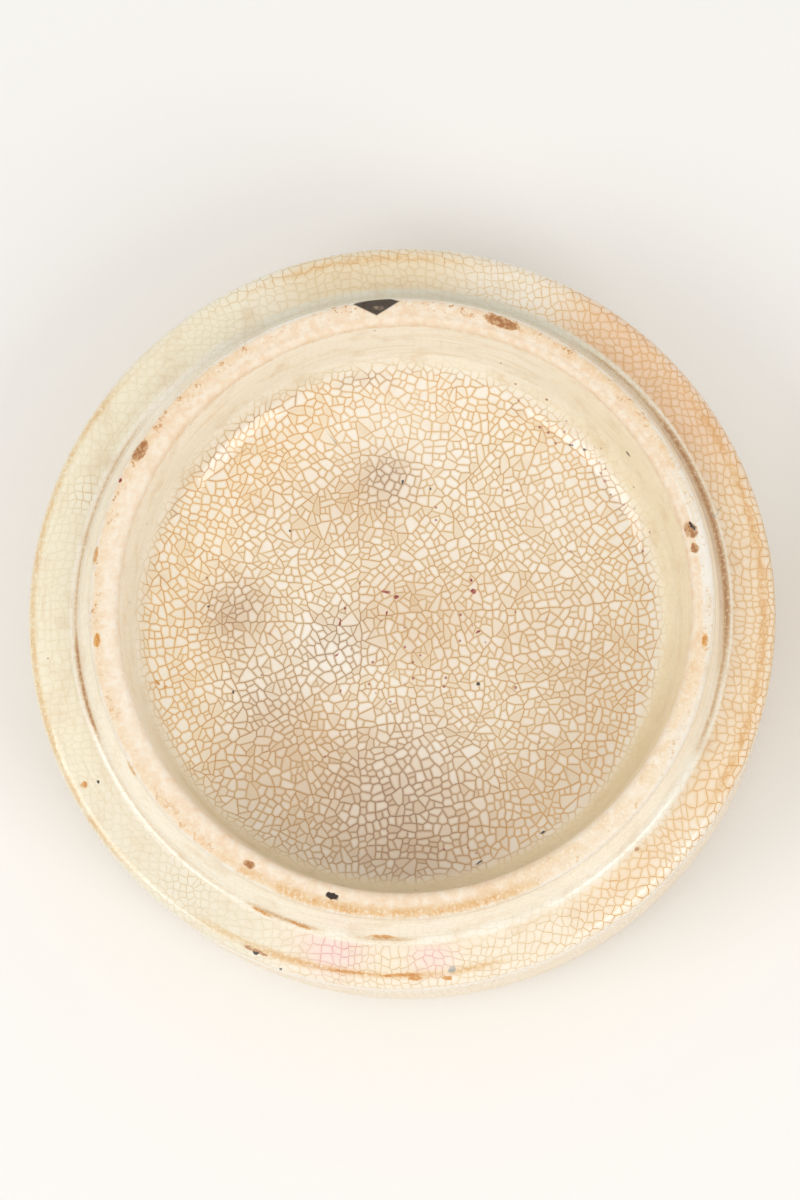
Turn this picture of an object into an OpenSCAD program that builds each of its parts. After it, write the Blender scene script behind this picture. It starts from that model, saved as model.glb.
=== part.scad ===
// Round lidded ceramic box: a thick-walled pot with a ledge and an upright collar,
// and a lid whose skirt slips over the collar and rests on the ledge.
// The origin is on the pot's axis, on the surface that it stands on.
// The lid lies beside the pot on its flat top, as it is put down when the box is open.

/* [Pot outside] */
// Widest diameter of the pot, at the rounded edge of its ledge
pot_d = 84; // [76:0.5:96]
// Height of the ledge that the lid rests on
ledge_z = 23; // [19:0.5:30]
// Width of the ledge, from the pot's widest edge in to the collar
ledge_w = 5.3; // [4.6:0.1:6.5]
// Radius of the rounded edge between the ledge and the outside
ledge_edge_r = 1.8; // [1:0.1:2.2]
// Height of the bead that the rounded edge belongs to
bead_h = 3.6; // [3:0.1:5]
// How far the wall is set back under the bead
wall_inset = 0.4; // [0.1:0.1:1]

/* [Collar] */
// How far the collar leans in from its foot to its rim, as a width
collar_lean = 1.95; // [1.3:0.05:2.6]
// Height of the rim above the ledge
collar_h = 5.6; // [4.5:0.1:7]
// Width of the bare rim on top of the collar
rim_w = 2.9; // [2.2:0.1:3.4]
// Radius of the hollow corner between the ledge and the collar
collar_cove_r = 0.9; // [0.4:0.1:1]
// Radius of the worn edges of the rim
rim_edge_r = 0.8; // [0.3:0.1:1]

/* [Pot inside] */
// Depth of the inside, from the rim to the floor
inside_depth = 14.4; // [11:0.2:16]
// How much the inside narrows from the rim down to the floor, across its diameter
inside_taper = 3; // [1:0.2:5]
// Radius where the inside wall turns into the floor
floor_corner_r = 2.6; // [1:0.1:4]

/* [Foot] */
// How far the flat ring that the pot stands on lies inside the widest edge
foot_inset = 3.5; // [2.5:0.1:5]
// Width of that ring
foot_ring_w = 5; // [3:0.5:7]
// Height of the bevel from the ring up to the wall
foot_bevel_h = 2.4; // [1.5:0.1:4]
// Depth of the recess under the pot
recess_depth = 3.6; // [2:0.1:3.8]
// Slope of the recess wall, as a width
recess_slope = 2.5; // [1:0.5:4]

/* [Lid] */
// How far the lid's side stays inside the widest edge of the pot
lid_inset = 0.5; // [0:0.1:1]
// Play between the collar's foot and the inside of the lid's skirt
skirt_play = 1.1; // [1:0.1:1.6]
// Free height between the rim and the inside of the lid's top
head_room = 0.8; // [0.4:0.1:2]
// Gap left between the seated lid and the ledge
seat_gap = 0.1; // [0.05:0.05:0.3]
// Thickness of the lid's top
lid_top_t = 4.2; // [3.5:0.1:6]
// Width of the border round the flat middle of the lid's top
lid_border_w = 6.5; // [5:0.5:10]
// How far the top falls from the flat middle to the shoulder
lid_fall = 0.7; // [0.3:0.1:1.5]
// Radius of the lid's rounded shoulder
lid_shoulder_r = 3.2; // [1.5:0.1:3.6]
// Radius where the lid's skirt turns into the inside of its top
lid_corner_r = 2; // [1:0.1:3]
// Free space on the table between the pot and the lid
lid_gap = 12; // [4:1:30]

/* [Worn rim] */
// Direction of the large chip in the rim, in degrees from the lid's side
chip_angle = 95; // [60:5:130]
// Width of the large chip along the rim
chip_w = 3.4; // [2:0.2:5]
// Depth of the large chip
chip_depth = 1.3; // [0.5:0.1:1.5]

/* [Hidden] */
$fn = 180;

// Small nicks in the worn rim: direction in degrees, width and depth
nicks = [[71, 4.2, 0.5], [149, 2.8, 0.4], [15.5, 2.6, 0.5], [238, 2.2, 0.4], [256.5, 1.6, 0.5]];

// Steps that a round corner is drawn in, and the radii of the corners that only break an edge
corner_steps = 7;
sharp_r = 0.6;
foot_heel_r = 2;
recess_corner_r = 2;
lid_flat_edge_r = 12;
chip_fn = 48;

rim_z = ledge_z + collar_h;
floor_z = rim_z - inside_depth;
pot_r = pot_d / 2;
wall_r = pot_r - wall_inset;
foot_r = pot_r - foot_inset;
recess_r = foot_r - foot_ring_w;
collar_foot_r = pot_r - ledge_w;
rim_out_r = collar_foot_r - collar_lean;
rim_in_r = rim_out_r - rim_w;
floor_r = rim_in_r - inside_taper / 2;
skirt_r = collar_foot_r + skirt_play;
lid_r = pot_r - lid_inset;
lid_flat_r = lid_r - lid_border_w;
ceiling_z = collar_h + head_room;
lid_h = ceiling_z + lid_top_t;
seat_z = ledge_z + seat_gap;
turn_x = (pot_r + lid_gap + lid_r) / 2;
turn_z = (seat_z + lid_h) / 2;

function turned(v, a) = [v.x * cos(a) - v.y * sin(a), v.x * sin(a) + v.y * cos(a)];

// Points of the arc of radius r that rounds the corner b on the way from a to c
function rounded_corner(a, b, c, r) =
    let (
        back = (a - b) / norm(a - b),
        ahead = (c - b) / norm(c - b),
        half = acos(back * ahead) / 2,
        centre = b + (back + ahead) / norm(back + ahead) * r / sin(half),
        first = b + back * r / tan(half) - centre,
        side = cross(ahead, back) > 0 ? 1 : -1,
        sweep = side * (180 - 2 * half)
    )
    [for (i = [0:corner_steps]) centre + turned(first, sweep * i / corner_steps)];

// An outline from corners given as [radius from the axis, height, rounding]
function rounded_outline(corners) =
    let (n = len(corners), p = [for (c = corners) [c[0], c[1]]])
    [
        for (i = [0:n - 1])
            each corners[i][2] == 0
                ? [p[i]]
                : rounded_corner(p[(i + n - 1) % n], p[i], p[(i + 1) % n], corners[i][2])
    ];

// The pot's outline, from the middle of its underside round to the middle of its floor
pot_corners = [
    [0, recess_depth, 0],
    [recess_r - recess_slope, recess_depth, recess_corner_r],
    [recess_r, 0, sharp_r],
    [foot_r, 0, sharp_r],
    [wall_r, foot_bevel_h, foot_heel_r],
    [wall_r, ledge_z - bead_h - wall_inset, sharp_r],
    [pot_r, ledge_z - bead_h, sharp_r],
    [pot_r, ledge_z, ledge_edge_r],
    [collar_foot_r, ledge_z, collar_cove_r],
    [rim_out_r, rim_z, rim_edge_r],
    [rim_in_r, rim_z, rim_edge_r],
    [floor_r, floor_z, floor_corner_r],
    [0, floor_z, 0]
];

// The lid's outline as it sits on the pot, with its seat at height 0
lid_corners = [
    [0, ceiling_z, 0],
    [skirt_r, ceiling_z, lid_corner_r],
    [skirt_r, 0, sharp_r],
    [lid_r, 0, sharp_r],
    [lid_r, lid_h - lid_fall, lid_shoulder_r],
    [lid_flat_r, lid_h, lid_flat_edge_r],
    [0, lid_h, 0]
];

// A chip in the worn edge of the rim: a ball sunk into its outer corner
module chip(angle, width, depth) {
    ball_r = (width * width / 4 + depth * depth) / (2 * depth);
    edge = rim_edge_r / 2;
    away = (ball_r - depth) * sqrt(0.5);
    rotate([0, 0, angle])
        translate([rim_out_r - edge + away, 0, rim_z - edge + away])
            sphere(r = ball_r, $fn = chip_fn);
}

module pot() {
    color([0.95, 0.88, 0.76])
        difference() {
            rotate_extrude()
                polygon(rounded_outline(pot_corners));
            chip(chip_angle, chip_w, chip_depth);
            for (n = nicks)
                chip(n[0], n[1], n[2]);
        }
}

// Turned over about the line where a hand turns it, from its seat to the table
module laid_down() {
    translate([2 * turn_x, 0, 2 * turn_z])
        rotate([0, 180, 0])
            translate([0, 0, seat_z])
                children();
}

module lid() {
    color([0.96, 0.92, 0.82])
        laid_down()
            rotate_extrude()
                polygon(rounded_outline(lid_corners));
}

pot();
lid();
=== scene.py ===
# %% [markdown]
# # A lidded ceramic box, seen open
# The real object is two pieces of fired clay: a thick-walled pot with a broad ledge and a
# low collar, and a lid whose skirt slips over the collar. Both carry a cream glaze that has
# crazed all over, and the stains of long use sit in its cracks. This lesson loads the
# measured model as a frame, turns a finer mesh for each piece, paints where the glaze is
# stained or worn away, and builds the glaze and the bare clay from shader nodes.

# %% Load the frame
import math

import bpy
import numpy as np
from mathutils import Matrix, Vector, noise


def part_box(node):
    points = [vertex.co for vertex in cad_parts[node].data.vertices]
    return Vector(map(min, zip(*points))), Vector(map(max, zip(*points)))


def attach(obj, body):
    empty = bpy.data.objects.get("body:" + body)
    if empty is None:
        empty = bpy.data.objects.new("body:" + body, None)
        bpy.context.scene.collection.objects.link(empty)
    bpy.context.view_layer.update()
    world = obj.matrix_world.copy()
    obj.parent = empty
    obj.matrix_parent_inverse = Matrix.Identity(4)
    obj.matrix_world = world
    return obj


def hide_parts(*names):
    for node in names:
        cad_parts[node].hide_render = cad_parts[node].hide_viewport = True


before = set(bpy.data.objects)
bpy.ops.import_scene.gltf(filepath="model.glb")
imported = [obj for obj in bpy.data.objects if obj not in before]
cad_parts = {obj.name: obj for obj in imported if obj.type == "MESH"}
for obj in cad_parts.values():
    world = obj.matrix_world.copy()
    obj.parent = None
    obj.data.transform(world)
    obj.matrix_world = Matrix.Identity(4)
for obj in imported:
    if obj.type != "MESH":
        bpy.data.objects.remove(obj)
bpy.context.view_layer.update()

# %% [markdown]
# ## Sizes
# The frame gives the outside sizes: how wide and high each piece is and where the lid lies.
# The rest are the lengths that shape the profile. They are the solid model's, except for the
# ledge's edge, the collar's foot and the floor's corner, where the highlights in the
# photograph asked for a slightly other curve.
# Everything is in metres, so a millimetre gets a short name.

# %% Sizes of the pot and the lid
mm = 0.001
pot_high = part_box("pot")[1]
lid_low, lid_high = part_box("lid")

pot_r = pot_high.y
rim_z = pot_high.z
ledge_z = rim_z - 5.6 * mm
bead_z = ledge_z - 3.6 * mm
wall_r = pot_r - 0.4 * mm
collar_r = pot_r - 5.6 * mm
rim_out_r = pot_r - 7.3 * mm
rim_in_r = pot_r - 10.0 * mm
floor_z = rim_z - 14.4 * mm
floor_r = rim_in_r - 1.5 * mm
bevel_z = 2.4 * mm
foot_r = pot_r - 3.5 * mm
recess_r = foot_r - 5 * mm
recess_z = 3.6 * mm

lid_r = lid_high.y
lid_h = lid_high.z - lid_low.z
lid_x = (lid_low.x + lid_high.x) / 2
ceiling_z = lid_h - 4.2 * mm
skirt_r = pot_r - 4.2 * mm
lid_flat_r = lid_r - 6.5 * mm
print(f"pot {2000 * pot_r:.1f} mm wide, rim at {1000 * rim_z:.1f} mm; lid {2000 * lid_r:.1f} mm wide")

# %% [markdown]
# ## The camera
# The photograph looks down on the pot from about 0.7 m, tilted 8 degrees towards the side
# nearest the bottom of the picture. A long lens at that distance gives the same slight
# perspective. The camera looks at a point a little above the pot's middle, so that the ledge
# lands on the pixel where the photograph has it. A picture 1200 pixels high on a sensor of
# 36 mm sets the lens.

# %% Place the camera
photo_size_px = Vector((800, 1200))
ledge_middle_px = Vector((401.7, 618.4))
px_per_metre = 8890
camera_distance = 0.70
camera_tilt = math.radians(8.4)
camera_heading = math.radians(289.7)
sensor = 36

focal_px = px_per_metre * camera_distance
aim = Vector((0, 0, 20 * mm))
away = Vector((math.sin(camera_tilt) * math.cos(camera_heading),
               math.sin(camera_tilt) * math.sin(camera_heading),
               math.cos(camera_tilt)))
eye = aim + camera_distance * away
off_centre = (ledge_middle_px - photo_size_px / 2) / px_per_metre
right = (-away).cross(Vector((0, 1, 0))).normalized()
up = right.cross(-away)
look = (aim - off_centre.x * right + off_centre.y * up - eye).normalized()
right = look.cross(Vector((0, 1, 0))).normalized()
up = right.cross(look)

camera = bpy.data.objects.new("camera", bpy.data.cameras.new("camera"))
camera.data.sensor_width = sensor
camera.data.lens = focal_px * sensor / photo_size_px.y
camera.matrix_world = Matrix((
    (right.x, up.x, -look.x, eye.x),
    (right.y, up.y, -look.y, eye.y),
    (right.z, up.z, -look.z, eye.z),
    (0, 0, 0, 1)))
bpy.context.scene.collection.objects.link(camera)
bpy.context.scene.camera = camera
print(f"lens {camera.data.lens:.0f} mm, eye at {[round(c, 3) for c in eye]}")


# %% [markdown]
# A mark that the photograph shows at some pixel sits on a surface of known height. This
# helper follows the camera's ray through the pixel down to that height, so marks can be
# listed where they are seen and still lie on the glaze.

# %% From a pixel to a place on the pot
def seen_at(px, py, height):
    """Where the ray through a pixel of the photograph meets a level plane."""
    ray = look * focal_px + right * (px - photo_size_px.x / 2) - up * (py - photo_size_px.y / 2)
    return eye + ray * ((height - eye.z) / ray.z)


print("rim's middle is at", [round(1000 * c, 1) for c in seen_at(399, 609, rim_z)], "mm")

# %% [markdown]
# ## Turned profiles
# Both pieces were thrown or jiggered: a profile turned round an axis. A profile is written
# as a few corners, each with its radius from the axis, its height, how round it is, and the
# name of the surface that starts there. Blender's Screw modifier could turn it, but building
# the rings here lets every ring keep its name and its distance along the skin, which the
# painting and the shader need.

# %% Round the corners of a profile
def rounded_corner(before, corner, after, radius):
    """Points of the arc that rounds a corner."""
    back = (before - corner).normalized()
    ahead = (after - corner).normalized()
    half = back.angle(ahead) / 2
    middle = corner + (back + ahead).normalized() * radius / math.sin(half)
    first = corner + back * radius / math.tan(half) - middle
    side = 1 if ahead.x * back.y - ahead.y * back.x > 0 else -1
    sweep = side * (math.pi - 2 * half)
    steps = max(4, round(abs(sweep) * radius / (0.32 * mm)))
    return [middle + Matrix.Rotation(sweep * i / steps, 2) @ first for i in range(steps + 1)]


def profile_rings(corners, spacing):
    """Radius, height and surface name of each ring, from one pole of the piece to the other."""
    points = [Vector(c[:2]) for c in corners]
    rings = []
    for i, (_, _, rounding, surface) in enumerate(corners):
        if rounding:
            bend = rounded_corner(points[i - 1], points[i], points[i + 1], rounding)
        else:
            bend = [points[i]]
        if rings:
            start, name = rings[-1]
            steps = math.ceil((bend[0] - start).length / spacing.get(name, 1 * mm))
            rings += [(start.lerp(bend[0], k / steps), name) for k in range(1, steps)]
        rings += [(p, surface) for p in bend]
    return rings


# %% Profiles of the pot and the lid
# Radius, height, rounding and surface of each corner, and how far apart a surface's rings lie
sharp = 0.6 * mm
pot_corners = [
    (0, recess_z, 0, "underside"),
    (recess_r - 2.5 * mm, recess_z, 2 * mm, "recess"),
    (recess_r, 0, sharp, "foot"),
    (foot_r, 0, sharp, "bevel"),
    (wall_r, bevel_z, 2 * mm, "wall"),
    (wall_r, bead_z - 0.4 * mm, sharp, "groove"),
    (pot_r, bead_z, sharp, "bead"),
    (pot_r, ledge_z, 1.2 * mm, "ledge"),
    (collar_r, ledge_z, 0.9 * mm, "collar"),
    (rim_out_r, rim_z, 0.8 * mm, "rim"),
    (rim_in_r, rim_z, 0.8 * mm, "inside"),
    (floor_r, floor_z, 4.4 * mm, "floor"),
    (0, floor_z, 0, "floor"),
]
pot_spacing = {"underside": 2.4 * mm, "recess": 0.8 * mm, "foot": 0.7 * mm, "bevel": 0.7 * mm,
               "wall": 1.2 * mm, "groove": 0.3 * mm, "bead": 0.4 * mm, "ledge": 0.33 * mm,
               "collar": 0.4 * mm, "rim": 0.2 * mm, "inside": 0.6 * mm, "floor": 0.9 * mm}
lid_corners = [
    (0, ceiling_z, 0, "ceiling"),
    (skirt_r, ceiling_z, 2 * mm, "skirt_inside"),
    (skirt_r, 0, sharp, "skirt_edge"),
    (lid_r, 0, sharp, "side"),
    (lid_r, lid_h - 0.7 * mm, 3.2 * mm, "border"),
    (lid_flat_r, lid_h, 12 * mm, "top"),
    (0, lid_h, 0, "top"),
]
lid_spacing = {"ceiling": 0.9 * mm, "skirt_inside": 0.5 * mm, "skirt_edge": 0.25 * mm,
               "side": 0.5 * mm, "border": 0.5 * mm, "top": 0.9 * mm}
pot_rings = profile_rings(pot_corners, pot_spacing)
lid_rings = profile_rings(lid_corners, lid_spacing)
print(len(pot_rings), "rings on the pot,", len(lid_rings), "on the lid")

# %% [markdown]
# ## The network of cracks
# A glaze crazes when it shrinks more than the clay under it. The first cracks are long, and
# each later one runs across from one older crack to the next, so most cells have four or
# five sides and most joints are shaped like a T. A Voronoi texture gives only honeycombs, so
# on the level surfaces, where the cracks are plain to see, the network is grown the way the
# glaze grows it: a disc is cut across its longer way again and again, until every cell is
# small enough. The whole disc has no longer way, so a very small bias decides where it is cut.
# A crack that would meet a side close to a corner runs into the corner. Where a cut does not
# leave two whole cells, it is tried again at a slightly other slant.

# %% Split a disc into cells
def split_cells(radius, sides, area, seed):
    """Corner points of a disc with that many sides, split into cells of about that area.
    Returns the points, the numbers of each cell's corners, and the round in which each crack
    was made. The disc's own corners come first, and no crack adds a point between them."""
    source = np.random.default_rng(seed)
    turns = np.arange(sides) * 2 * math.pi / sides
    points = [radius * np.array((math.cos(a), math.sin(a))) for a in turns]
    cells = [list(range(sides))]
    owner = {(i, (i + 1) % sides): 0 for i in range(sides)}
    rounds = [0]
    born = {}
    open_cells = [0]
    shortest = 0.07
    round_bias = 1e-6
    area_spread, slant, off_middle = 0.26, 0.05, 0.05
    tries = 6

    def corner_on(a, b, share):
        """A corner where a crack meets the side from a to b: a new one, or the nearer old one."""
        length = np.linalg.norm(points[b] - points[a])
        if (b, a) not in owner or min(share, 1 - share) * length < shortest:
            return a if share < 0.5 else b
        points.append(points[a] + (points[b] - points[a]) * share)
        new = len(points) - 1
        born[frozenset((a, new))] = born[frozenset((new, b))] = born.get(frozenset((a, b)), 0)
        for one, other in ((a, b), (b, a)):
            cell = owner.pop((one, other))
            cells[cell].insert(cells[cell].index(one) + 1, new)
            owner[(one, new)] = owner[(new, other)] = cell
        return new

    while open_cells:
        number = open_cells.pop()
        for attempt in range(tries):
            ring = cells[number]
            spots = np.array([points[i] for i in ring])
            ahead = np.roll(spots, -1, axis=0)
            turned = spots[:, 0] * ahead[:, 1] - ahead[:, 0] * spots[:, 1]
            if attempt == 0 and turned.sum() / 2 < area * math.exp(source.normal(0, area_spread)):
                break
            middle = ((spots + ahead) * turned[:, None]).sum(axis=0) / (3 * turned.sum())
            around = spots - middle
            weight = np.linalg.norm(ahead - spots, axis=1)
            weight = weight + np.roll(weight, 1)
            x, y = around.T
            wider = (weight * (x * x - y * y)).sum() + round_bias * (weight * (x * x + y * y)).sum()
            longer_way = 0.5 * math.atan2(2 * (weight * x * y).sum(), wider)
            way = longer_way + source.normal(0, slant)
            depth = around @ np.array((math.cos(way), math.sin(way)))
            depth = depth - source.normal(0, off_middle) * np.ptp(depth)
            after = np.roll(depth, -1)
            met = np.flatnonzero(depth * after < 0)
            if len(met) != 2:
                continue
            hits = [(ring[i], ring[(i + 1) % len(ring)], depth[i] / (depth[i] - after[i])) for i in met]
            ends = [corner_on(*hit) for hit in hits]
            ring = cells[number]
            i, j = sorted(ring.index(end) for end in ends)
            if not 2 <= j - i <= len(ring) - 2:
                continue
            cells[number] = ring[i:j + 1]
            cells.append(ring[j:] + ring[:i + 1])
            rounds[number] += 1
            rounds.append(rounds[number])
            born[frozenset((ring[i], ring[j]))] = rounds[number]
            for new in (number, len(cells) - 1):
                for one, other in zip(cells[new], cells[new][1:] + cells[new][:1]):
                    owner[(one, other)] = new
                open_cells.append(new)
            break
    return np.array(points), cells, born


# %% [markdown]
# The straight cuts are then loosened, because real cracks pull at each other: every joint
# moves a third of the way to the middle of its neighbours, and slow noise bends the rows.
# Blender's noise vectors start from the clock unless they get a seed, and a seed makes every
# run bend them alike. The later a crack came, the paler it is. Last, each cell gets an inner
# outline a little inside its cracks, drawn back where a narrow cell would fold over. A value
# called gap is 0 on a crack and grows to that inner outline, so the shader can draw a crack
# of any width, as sharp in a close view as from afar.

# %% Loosen the cracks and give each cell its inner outline
segments = 480
noise_seed = 5
ring_turn = np.arange(segments) * 2 * math.pi / segments
noise.seed_set(noise_seed)
inner_gap = 0.3
pull = 0.32
bends = ((9, 0.9, 3), (3, 0.22, 8))
share_of_room = 0.7
oldest_round, paler_by = 8, 0.08


def loosened(points, cells):
    """The network's points, drawn towards their neighbours and bent by slow noise. Each bend
    has its size and its reach in millimetres, and the slice of the noise that it is cut from."""
    pairs = np.array([pair for ring in cells for pair in zip(ring, ring[1:] + ring[:1])])
    pairs = np.concatenate([pairs, pairs[:, ::-1]])
    total = np.zeros_like(points)
    np.add.at(total, pairs[:, 0], points[pairs[:, 1]])
    middle = total / np.bincount(pairs[:, 0])[:, None]
    points = points + pull * (middle - points)
    bent = points
    for size, reach, layer in bends:
        drift = [noise.noise_vector(Vector((x / size, y / size, layer))) * reach for x, y in points]
        bent = bent + np.array(drift)[:, :2]
    return bent


def inner_outline(spots):
    """The corners of a cell moved inward, and how far they were moved."""
    side = np.roll(spots, -1, axis=0) - spots
    inward = np.stack([-side[:, 1], side[:, 0]], axis=1) / np.linalg.norm(side, axis=1)[:, None]
    middle = spots.mean(axis=0)
    room = ((middle - spots) * inward).sum(axis=1).min()
    gap = min(inner_gap, share_of_room * max(room, 0.05))
    before = np.roll(inward, 1, axis=0)
    lean = 1 + (inward * before).sum(axis=1)
    step = (inward + before) / np.maximum(lean, 0.5)[:, None]
    moved = spots + gap * step
    while ((np.roll(moved, -1, axis=0) - moved) * side).sum(axis=1).min() < 0:
        gap *= share_of_room
        moved = spots + gap * step
    return moved, gap


def crazed_disc(radius, area, seed):
    """Places on the flat map, faces, gaps, cell shades and crack strengths, the edge first."""
    corners, cells, born = split_cells(radius / mm, segments, area, seed)
    moved = loosened(corners, cells)
    free = np.clip((radius / mm - np.linalg.norm(corners, axis=1)) / 2, 0, 1)[:, None]
    corners = corners + (moved - corners) * free
    places = [corners]
    gaps = [np.where(np.arange(len(corners)) < segments, inner_gap, 0.0)]
    faces, shades, strengths = [], [], []
    source = np.random.default_rng(seed)
    start = len(corners)
    for ring in cells:
        inner, gap = inner_outline(corners[ring])
        own = list(range(start, start + len(ring)))
        start += len(ring)
        strip = [(a, b, d, c) for a, b, c, d in zip(ring, ring[1:] + ring[:1], own, own[1:] + own[:1])]
        places.append(inner)
        gaps.append(np.full(len(ring), gap))
        faces += [own] + strip
        shades += [source.random()] * (1 + len(strip))
        ages = np.array([born.get(frozenset(side[:2]), 0) for side in strip])
        strengths += [1.0] + (1 - paler_by * np.clip(ages - oldest_round, 0, 4)).tolist()
    return np.concatenate(places) * mm, faces, np.concatenate(gaps), shades, strengths


def plain_disc(radius):
    """The same for a plain disc: a fan round its middle."""
    edge = radius * np.stack([np.cos(ring_turn), np.sin(ring_turn)], axis=1)
    faces = [(i, (i + 1) % segments, segments) for i in range(segments)]
    even = [0.5] * segments
    return np.concatenate([edge, [[0, 0]]]), faces, np.full(segments + 1, inner_gap), even, even


# %% [markdown]
# ## A skin to paint on
# Cracks in a glaze follow its surface, so the painting and the shader need coordinates that
# lie flat on it. An unwrapped UV map would do, but a turned piece has a simpler answer:
# measure each ring's distance along the profile from a ring where the skin lies level, and
# use it as the radius of a flat map. The floor and the ledge then keep their true plan, and
# the walls carry on from them without a seam. The skin is kept in arrays, one value for each
# vertex: first the rings, then the discs that close the two ends.

# %% Lay the rings and the discs together
def turned_skin(rings, maps, crazed):
    """The vertices of a turned piece, as arrays, with its faces.
    maps gives the surfaces of each flat map, the name of the ring that it starts from, and
    whether the radius grows along the profile there. crazed gives the area of a cell and the
    seed of each surface at an end of the profile that is a crazed disc."""
    radius = np.array([p.x for p, _ in rings])
    height = np.array([p.y for p, _ in rings])
    names = np.array([name for _, name in rings])
    run = np.concatenate([[0], np.cumsum(np.hypot(np.diff(radius), np.diff(height)))])
    flat = np.zeros(len(rings))
    for surfaces, start, way in maps:
        rows = np.isin(names, surfaces)
        found = np.flatnonzero(names == start)
        anchor = found[len(found) // 2]
        flat[rows] = radius[anchor] + way * (run[rows] - run[anchor])
    end = len(rings) - 1
    first = np.flatnonzero(names == names[0])[-1] if names[0] in crazed else 1
    last = np.flatnonzero(names == names[end])[0] if names[end] in crazed else end - 1

    kept = slice(first, last + 1)
    skin = {"r": np.repeat(radius[kept], segments), "z": np.repeat(height[kept], segments),
            "flat": np.repeat(flat[kept], segments), "name": np.repeat(names[kept], segments),
            "turn": np.tile(ring_turn, last + 1 - first)}
    skin["gap"] = np.full_like(skin["r"], inner_gap)
    here = np.arange(segments)
    there = np.roll(here, -1)
    faces = []
    for low in range(0, (last - first) * segments, segments):
        high = low + segments
        faces += np.stack([low + here, low + there, high + there, high + here], axis=1).tolist()
    shades = [0.5] * len(faces)
    strengths = [1.0] * len(faces)
    is_net = [0.0] * len(faces)
    for edge, pole in ((first, 0), (last, end)):
        if names[pole] in crazed:
            disc = crazed_disc(flat[edge], *crazed[names[pole]])
        else:
            disc = plain_disc(flat[edge])
        places, disc_faces, gaps, disc_shades, disc_strengths = disc
        way = 1 if pole else -1
        own = np.arange(pole, edge - way, -way)
        out = np.linalg.norm(places[segments:], axis=1)
        edge_start = (edge - first) * segments
        start = len(skin["r"]) - segments
        disc_faces = [[edge_start + i if i < segments else start + i for i in f][::way] for f in disc_faces]
        more = {"r": np.interp(out, flat[own], radius[own]),
                "z": np.interp(out, flat[own], height[own]),
                "flat": out, "name": np.full(len(out), names[pole]), "gap": gaps[segments:],
                "turn": np.arctan2(places[segments:, 1], places[segments:, 0]) % (2 * math.pi)}
        skin = {key: np.concatenate([skin[key], more[key]]) for key in skin}
        faces += disc_faces
        shades += disc_shades
        strengths += disc_strengths
        is_net += [float(names[pole] in crazed)] * len(disc_faces)
    skin["angle"] = np.degrees(skin["turn"])
    return skin, faces, {"shade": shades, "strength": strengths, "net": is_net}


pot_skin, pot_faces, pot_cells = turned_skin(pot_rings, [
    (["underside", "recess", "foot", "bevel"], "underside", 1),
    (["wall"], "wall", -1),
    (["groove", "bead", "ledge", "collar"], "ledge", -1),
    (["rim", "inside", "floor"], "floor", -1)], {"floor": (1.35, 9)})
lid_skin, lid_faces, lid_cells = turned_skin(lid_rings, [
    (["ceiling", "skirt_inside"], "ceiling", 1),
    (["skirt_edge", "side"], "side", -1),
    (["border", "top"], "top", -1)], {"ceiling": (1.5, 21), "top": (1.5, 22)})
print("pot:", len(pot_skin["r"]), "vertices; lid:", len(lid_skin["r"]))


# %% [markdown]
# Masks say where on the skin something happens. They are soft-edged, and they are written
# by surface name, by angle round the pot and by radius or height, the way someone would
# describe a stain: on the ledge, at the left, close to the edge.

# %% Soft masks
def smooth(values, low, high):
    """0 below low, 1 above high, and an even turn between them."""
    t = np.clip((values - low) / (high - low), 0, 1)
    return t * t * (3 - 2 * t)


def on(skin, *surfaces):
    """1 on these surfaces."""
    return np.isin(skin["name"], surfaces).astype(float)


def sector(skin, start, end, soft=8):
    """1 between two angles in degrees, going counter-clockwise, with soft ends."""
    width = (end - start) % 360
    past = (skin["angle"] - start) % 360
    past = np.where(past > 180 + width / 2, past - 360, past)
    return smooth(past, -soft, soft) * (1 - smooth(past, width - soft, width + soft))


def near(values, centre, reach):
    """1 at centre, fading to 0 at reach."""
    return 1 - smooth(np.abs(values - centre) / reach, 0, 1)


def waves(skin, seed, lowest, highest):
    """A slow wave round the piece, from -1 to 1."""
    source = np.random.default_rng(seed)
    total = np.zeros_like(skin["turn"])
    for count in range(lowest, highest + 1):
        total += np.cos(count * skin["turn"] + source.uniform(0, 2 * math.pi)) * source.uniform(0.4, 1)
    return total / np.abs(total).max()


def patches(skin, size, seed):
    """Noise from 0 to 1 over the skin, with blotches of about that size."""
    shift = seed * 17.3
    x = skin["flat"] * np.cos(skin["turn"]) / size + shift
    y = skin["flat"] * np.sin(skin["turn"]) / size - shift
    return np.clip([0.5 + noise.noise(Vector((a, b, shift))) for a, b in zip(x, y)], 0, 1)


# %% [markdown]
# ## The pot's shape
# Old pots are never perfectly round. The inside sits a little to one side of the collar,
# the wall waves by a few hundredths of a millimetre, and the bare rim has lost chips. A chip
# is a slope cut into the rim's outer edge: its depth across the rim is greatest in the
# middle of the chip and fades to nothing at its ends. None of it reaches past the outside
# that the frame gives, so the pot keeps its measured size.

# %% Push the inside to one side
collar_shift = 0.35 * mm
rim_shift = 0.35 * mm
floor_shift = -0.42 * mm
side_shift = 0.15 * mm
moved = smooth(-pot_skin["r"], -rim_out_r + 0.3 * mm, -rim_in_r) * on(pot_skin, "rim", "inside", "floor")
up_collar = smooth(pot_skin["z"], ledge_z + 0.5 * mm, rim_z - 1 * mm) * on(pot_skin, "collar", "rim")
in_pot = on(pot_skin, "inside", "floor")
shift_x = collar_shift * np.maximum(up_collar, in_pot) + rim_shift * moved
shift_x += floor_shift * smooth(-pot_skin["z"], -rim_z, -floor_z) * in_pot
shift_y = side_shift * np.maximum(up_collar, in_pot)
print(f"the inside moves by up to {1000 * shift_x.max():.2f} mm")

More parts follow.
